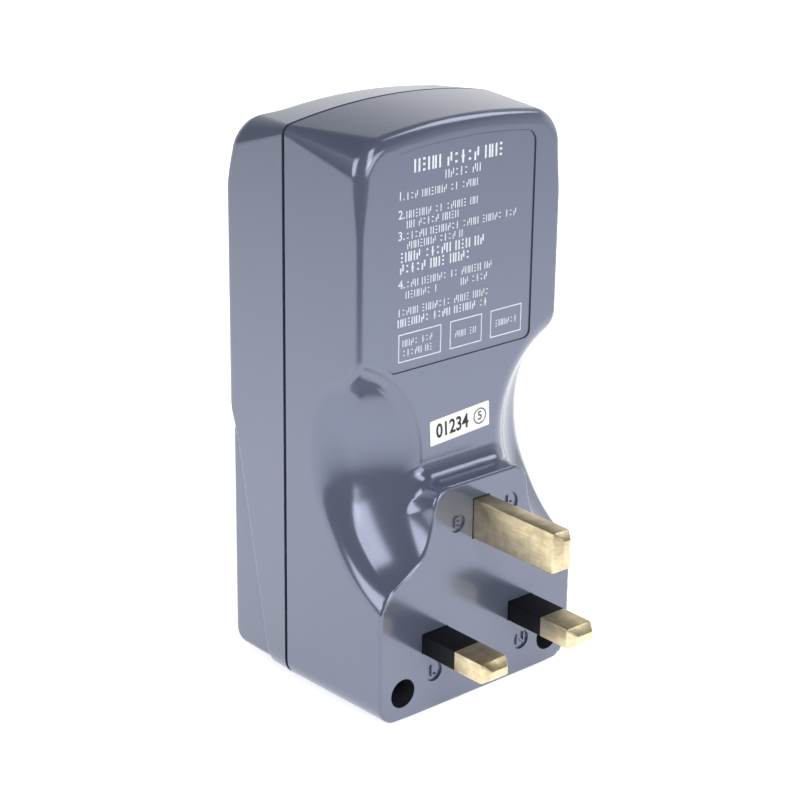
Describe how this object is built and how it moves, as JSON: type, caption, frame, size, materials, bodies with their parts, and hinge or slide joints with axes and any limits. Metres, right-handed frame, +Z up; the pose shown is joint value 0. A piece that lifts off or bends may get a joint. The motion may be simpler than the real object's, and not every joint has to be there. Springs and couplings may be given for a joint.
{
  "type": "rcd adapter plug",
  "caption": "Plug-in residual-current adaptor: arched two-shell case with side finger scoops, flat plug pins behind, shuttered socket, reset and test buttons in front.",
  "frame": {"origin": "on the plug face, midway between the line and neutral pins", "axes": "+Z up towards the arched top, +Y out along the plug pins, +X towards the line pin; socket and buttons face -Y"},
  "size_m": [0.051, 0.0719, 0.1125],
  "materials": {
    "case_plastic": "satin gloss moulded",
    "pin_brass": "drawn and milled brass",
    "sleeve_plastic": "moulded black",
    "label_film": "printed film",
    "sticker_paper": "coated paper",
    "screw_steel": "zinc plated",
    "reset_plastic": "moulded blue",
    "test_plastic": "moulded yellow",
    "spring_steel": "drawn wire",
    "window_clear": "clear moulded lens",
    "flag_plastic": "moulded orange",
    "frame_plastic": "moulded dark grey",
    "carriage_plastic": "moulded ivory",
    "strap_copper": "stamped copper strip",
    "magnet_iron": "plated soft iron",
    "bobbin_plastic": "moulded white",
    "coil_copper": "enamelled copper wire",
    "board_laminate": "glass epoxy board",
    "ring_case": "moulded black",
    "contact_brass": "stamped brass",
    "resistor_body": "lacquered",
    "chip_body": "moulded black",
    "disc_body": "dipped blue"
  },
  "bodies": {
    "case": {"rear_case": "case_plastic", "front_case": "case_plastic", "earth_pin": "pin_brass", "line_pin": "pin_brass", "neutral_pin": "pin_brass", "line_sleeve": "sleeve_plastic", "neutral_sleeve": "sleeve_plastic", "rating_label": "label_film", "date_sticker": "sticker_paper", "case_screws": "screw_steel", "reset_spring": "spring_steel", "test_spring": "spring_steel", "indicator_window": "window_clear", "flag_pin": "screw_steel", "switch_frame": "frame_plastic", "fixed_contacts": "strap_copper", "carriage_springs": "spring_steel", "magnet_core": "magnet_iron", "coil_bobbin": "bobbin_plastic", "coil_winding": "coil_copper", "circuit_board": "board_laminate", "board_screws": "screw_steel", "sensing_ring": "ring_case", "sensing_winding": "coil_copper", "line_feed": "strap_copper", "neutral_feed": "strap_copper", "line_load": "strap_copper", "neutral_load": "strap_copper", "earth_strap": "strap_copper", "line_contact": "contact_brass", "neutral_contact": "contact_brass", "earth_contact": "contact_brass", "socket_base": "carriage_plastic", "base_screws": "screw_steel", "shutter_spring": "spring_steel", "test_leaf": "contact_brass", "test_terminal": "contact_brass", "test_resistor": "resistor_body", "control_chip": "chip_body", "surge_disc": "disc_body", "capacitor": "chip_body"},
    "reset_button": {"reset_button": "reset_plastic"},
    "test_button": {"test_button": "test_plastic"},
    "carriage": {"contact_carriage": "carriage_plastic", "moving_contacts": "strap_copper", "armature": "magnet_iron"},
    "flag": {"indicator_flag": "flag_plastic"},
    "shutter": {"shutter": "bobbin_plastic"}
  },
  "joints": [
    {"name": "reset_press", "type": "slide", "parent": "case", "child": "reset_button", "axis": [0, 1, 0], "range_m": [0, 0.003], "stiffness_N_per_m": 600, "springref_m": -0.0015, "deforming": ["reset_spring"]},
    {"name": "test_press", "type": "slide", "parent": "case", "child": "test_button", "axis": [0, 1, 0], "range_m": [0, 0.002], "stiffness_N_per_m": 600, "springref_m": -0.0015, "deforming": ["test_spring", "test_leaf"]},
    {"name": "carriage_slide", "type": "slide", "parent": "case", "child": "carriage", "axis": [0, 1, 0], "range_m": [0, 0.003], "stiffness_N_per_m": 400, "springref_m": -0.001, "deforming": ["carriage_springs"]},
    {"name": "flag_turn", "type": "hinge", "parent": "case", "child": "flag", "pos_m": [-0.0095, -0.03465, 0.0808], "axis": [1, 0, 0], "range_deg": [0, 30]},
    {"name": "shutter_slide", "type": "slide", "parent": "case", "child": "shutter", "axis": [0, 0, -1], "range_m": [0, 0.0065], "stiffness_N_per_m": 120, "springref_m": -0.003, "deforming": ["shutter_spring"]}
  ],
  "couplings": [
    {"joint": "carriage_slide", "follows": "reset_press", "ratio": 1},
    {"joint": "flag_turn", "follows": "reset_press", "rad_per_m": 166.67}
  ]
}
